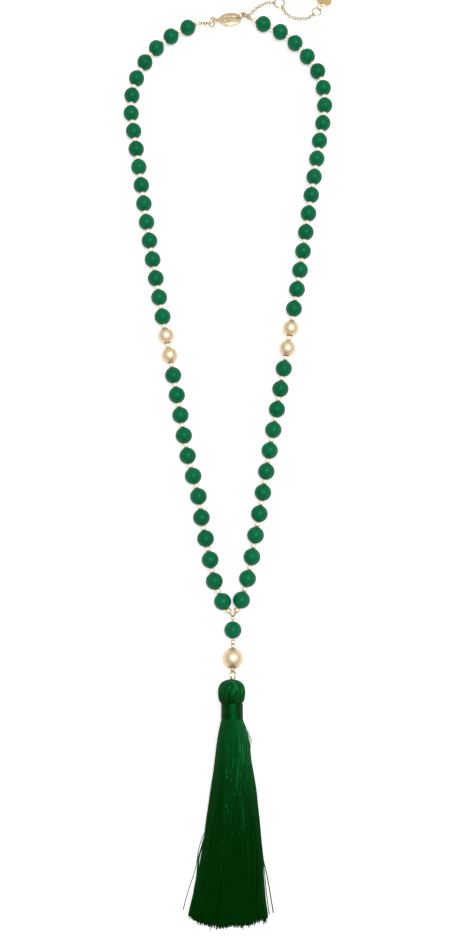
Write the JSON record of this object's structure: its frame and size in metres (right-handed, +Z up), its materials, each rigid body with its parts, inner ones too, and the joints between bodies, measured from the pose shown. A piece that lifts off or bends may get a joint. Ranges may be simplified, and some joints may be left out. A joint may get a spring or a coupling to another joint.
{
  "type": "tassel necklace",
  "caption": "Long strand of round beads with small spacers, a two-bead drop and a silk tassel, closed by a lobster clasp with a chain extender and a plain round tag.",
  "frame": {"origin": "centre of the bounding box's foot, on the surface the necklace lies on", "axes": "+Y from the tassel to the clasp, +Z up from the surface, +X to the right seen from above with the clasp at the far end"},
  "size_m": [0.1148, 0.4899, 0.0128],
  "materials": {
    "bead": "matte green resin",
    "gold_bead": "satin pale gold",
    "wire": "bright pale gold",
    "clasp": "polished pale gold",
    "thread": "beading thread",
    "silk": "silky dark green thread"
  },
  "bodies": {
    "necklace": {"green_beads_left": "bead", "green_beads_right": "bead", "gold_bead_lower_left": "gold_bead", "gold_bead_upper_left": "gold_bead", "gold_bead_lower_right": "gold_bead", "gold_bead_upper_right": "gold_bead", "spacers_left": "wire", "spacers_right": "wire", "thread": "thread", "end_links_left": "wire", "end_links_right": "wire", "clasp_ring": "wire", "clasp_body": "clasp", "clasp_pivot": "clasp", "end_ring": "wire", "extender_chain_inner": "wire", "extender_chain_outer": "wire", "extender_ring_inner": "wire", "extender_ring_outer": "wire", "tag_link": "wire", "tag": "clasp", "green_drop_bead": "bead", "green_drop_pin": "wire", "gold_drop_bead": "gold_bead", "gold_drop_pin": "wire", "tassel_ring": "wire", "tassel": "silk", "tassel_wrap": "silk"},
    "lever": {"clasp_lever": "clasp"}
  },
  "joints": [
    {"name": "lever_pivot", "type": "hinge", "parent": "necklace", "child": "lever", "pos_m": [-0.00208, 0.22477, 0.00182], "axis": [-0.0349, -0.0015, 0.9994], "range_deg": [0, 15], "stiffness_Nm_per_rad": 0.0002}
  ]
}
